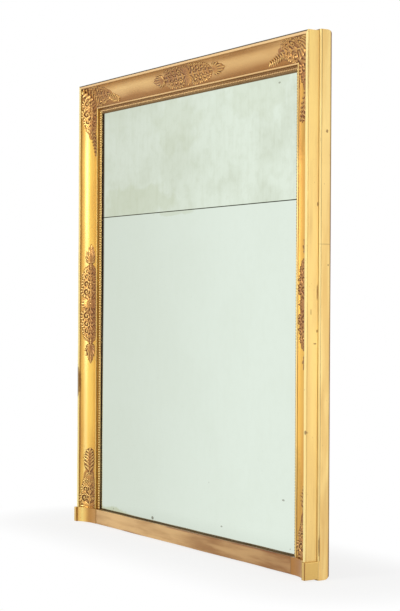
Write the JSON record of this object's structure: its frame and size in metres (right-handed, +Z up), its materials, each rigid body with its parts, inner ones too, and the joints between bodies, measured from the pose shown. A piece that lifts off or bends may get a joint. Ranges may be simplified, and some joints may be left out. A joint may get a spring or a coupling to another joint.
{
  "type": "overmantel mirror",
  "caption": "Gilt overmantel mirror: cove-moulded frame with applied leaf ornaments and a beaded sight edge, stacked mirror plates, a boarded back and swinging hanger rings.",
  "frame": {"origin": "on the wall plane, in the middle of the carcass's lower edge", "axes": "+X to the right seen from the front, +Y back to the wall (the front faces -Y), +Z up"},
  "size_m": [1.322, 0.0855, 1.51],
  "materials": {
    "gilt_moulding": "water gilded over red bole, worn at the edges",
    "black_slip": "ebonised, rubbed brown",
    "gilt_base": "rubbed gilding, brown with age",
    "gilt_ornament": "pressed composition, gilded, toned dark in the hollows",
    "gilt_side": "gilded outer sides, bare pine at the back",
    "old_pine": "bare oxidised pine",
    "small_joinery": "bare wood",
    "mirror_glass": "old tin-silvered plate, lightly foxed",
    "old_iron": "dark wrought iron with rust"
  },
  "bodies": {
    "frame": {"stile_moulding_left": "gilt_moulding", "stile_moulding_right": "gilt_moulding", "top_rail_moulding": "gilt_moulding", "bead_strip_left": "gilt_moulding", "bead_strip_right": "gilt_moulding", "bead_strip_top": "gilt_moulding", "sight_slip_left": "black_slip", "sight_slip_right": "black_slip", "sight_slip_top": "black_slip", "base_rail": "gilt_base", "base_block_left": "gilt_base", "base_block_right": "gilt_base", "corner_ornament_left": "gilt_ornament", "corner_ornament_right": "gilt_ornament", "centre_ornament_left": "gilt_ornament", "centre_ornament_right": "gilt_ornament", "centre_ornament_top": "gilt_ornament", "foot_ornament_left": "gilt_ornament", "foot_ornament_right": "gilt_ornament", "carcass_stile_left": "gilt_side", "carcass_stile_right": "gilt_side", "carcass_bottom_rail": "old_pine", "carcass_cross_rail": "old_pine", "carcass_top_rail": "old_pine", "backboard_1": "old_pine", "backboard_2": "old_pine", "backboard_3": "old_pine", "backboard_4": "old_pine", "backboard_5": "old_pine", "backboard_6": "old_pine", "mitre_keys": "small_joinery", "locating_dowels": "small_joinery", "carcass_pegs": "small_joinery", "setting_slips": "small_joinery", "plate_wedges": "small_joinery", "mirror_plate_lower": "mirror_glass", "mirror_plate_upper": "mirror_glass", "backboard_nails": "old_iron", "hanger_strap_left": "old_iron", "hanger_strap_right": "old_iron", "hanger_screws": "old_iron"},
    "ring_left": {"hanging_ring_left": "old_iron"},
    "ring_right": {"hanging_ring_right": "old_iron"}
  },
  "joints": [
    {"name": "ring_left_swing", "type": "hinge", "parent": "frame", "child": "ring_left", "pos_m": [-0.4, -0.00805, 1.077], "axis": [1, 0, 0], "range_deg": [0, 180]},
    {"name": "ring_right_swing", "type": "hinge", "parent": "frame", "child": "ring_right", "pos_m": [0.4, -0.00805, 1.077], "axis": [1, 0, 0], "range_deg": [0, 180]}
  ]
}
